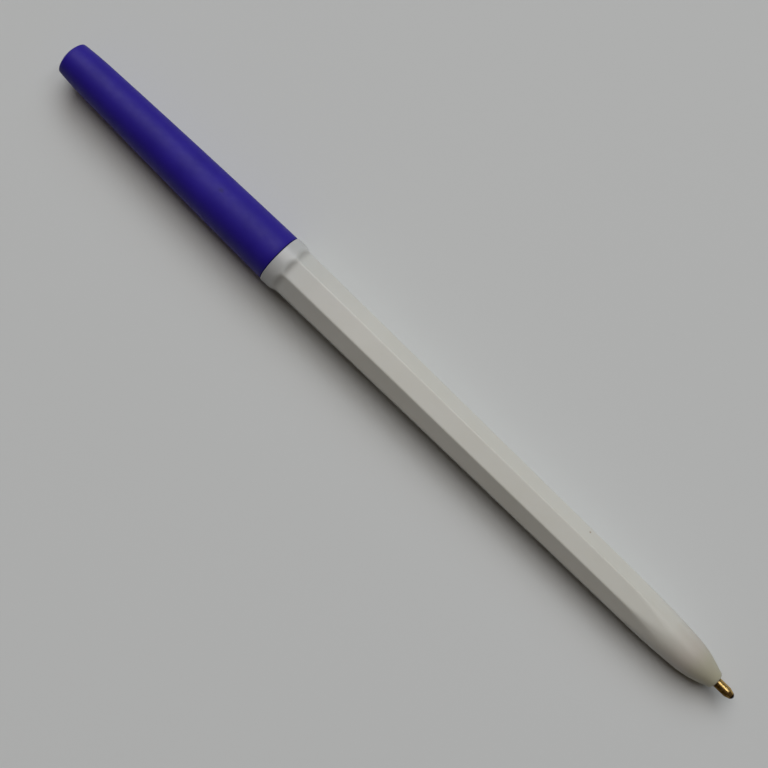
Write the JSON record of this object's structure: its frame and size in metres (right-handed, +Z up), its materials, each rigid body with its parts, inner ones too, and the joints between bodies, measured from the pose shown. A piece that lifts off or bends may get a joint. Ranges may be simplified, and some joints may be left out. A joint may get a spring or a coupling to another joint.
{
  "type": "stick ballpoint pen",
  "caption": "Stick ballpoint pen with an eight-sided tapering barrel, a slim brass point and a plain tapered cap that pulls off the rear end.",
  "frame": {"origin": "middle of the bounding box in X and Y, on the surface that the collar's lowest point touches", "axes": "+X along the pen's axis towards the writing ball, +Z up through the middle of one flat, +Y across"},
  "size_m": [0.148, 0.0088, 0.0089],
  "materials": {
    "white_plastic": "satin moulded white polystyrene, slightly yellowed",
    "blue_plastic": "fine matte moulded blue-violet polypropylene",
    "plug_plastic": "matte moulded white polyethylene",
    "tube_plastic": "clear to milky extruded polypropylene tube",
    "ink_paste": "thick dark blue ink paste",
    "tip_brass": "turned brass, lightly tarnished",
    "ball_steel": "polished hard metal ball"
  },
  "bodies": {
    "pen": {"barrel": "white_plastic", "end_plug": "plug_plastic", "refill_tube": "tube_plastic", "ink": "ink_paste", "tip_body": "tip_brass"},
    "cap": {"cap": "blue_plastic"},
    "ball": {"writing_ball": "ball_steel"}
  },
  "joints": [
    {"name": "cap_pull", "type": "slide", "parent": "pen", "child": "cap", "axis": [-1, 0, 0], "range_m": [0, 0.02]},
    {"name": "ball_roll", "type": "hinge", "parent": "pen", "child": "ball", "pos_m": [0.0735, 0, 0.00446], "axis": [0, 1, 0], "continuous": true}
  ]
}
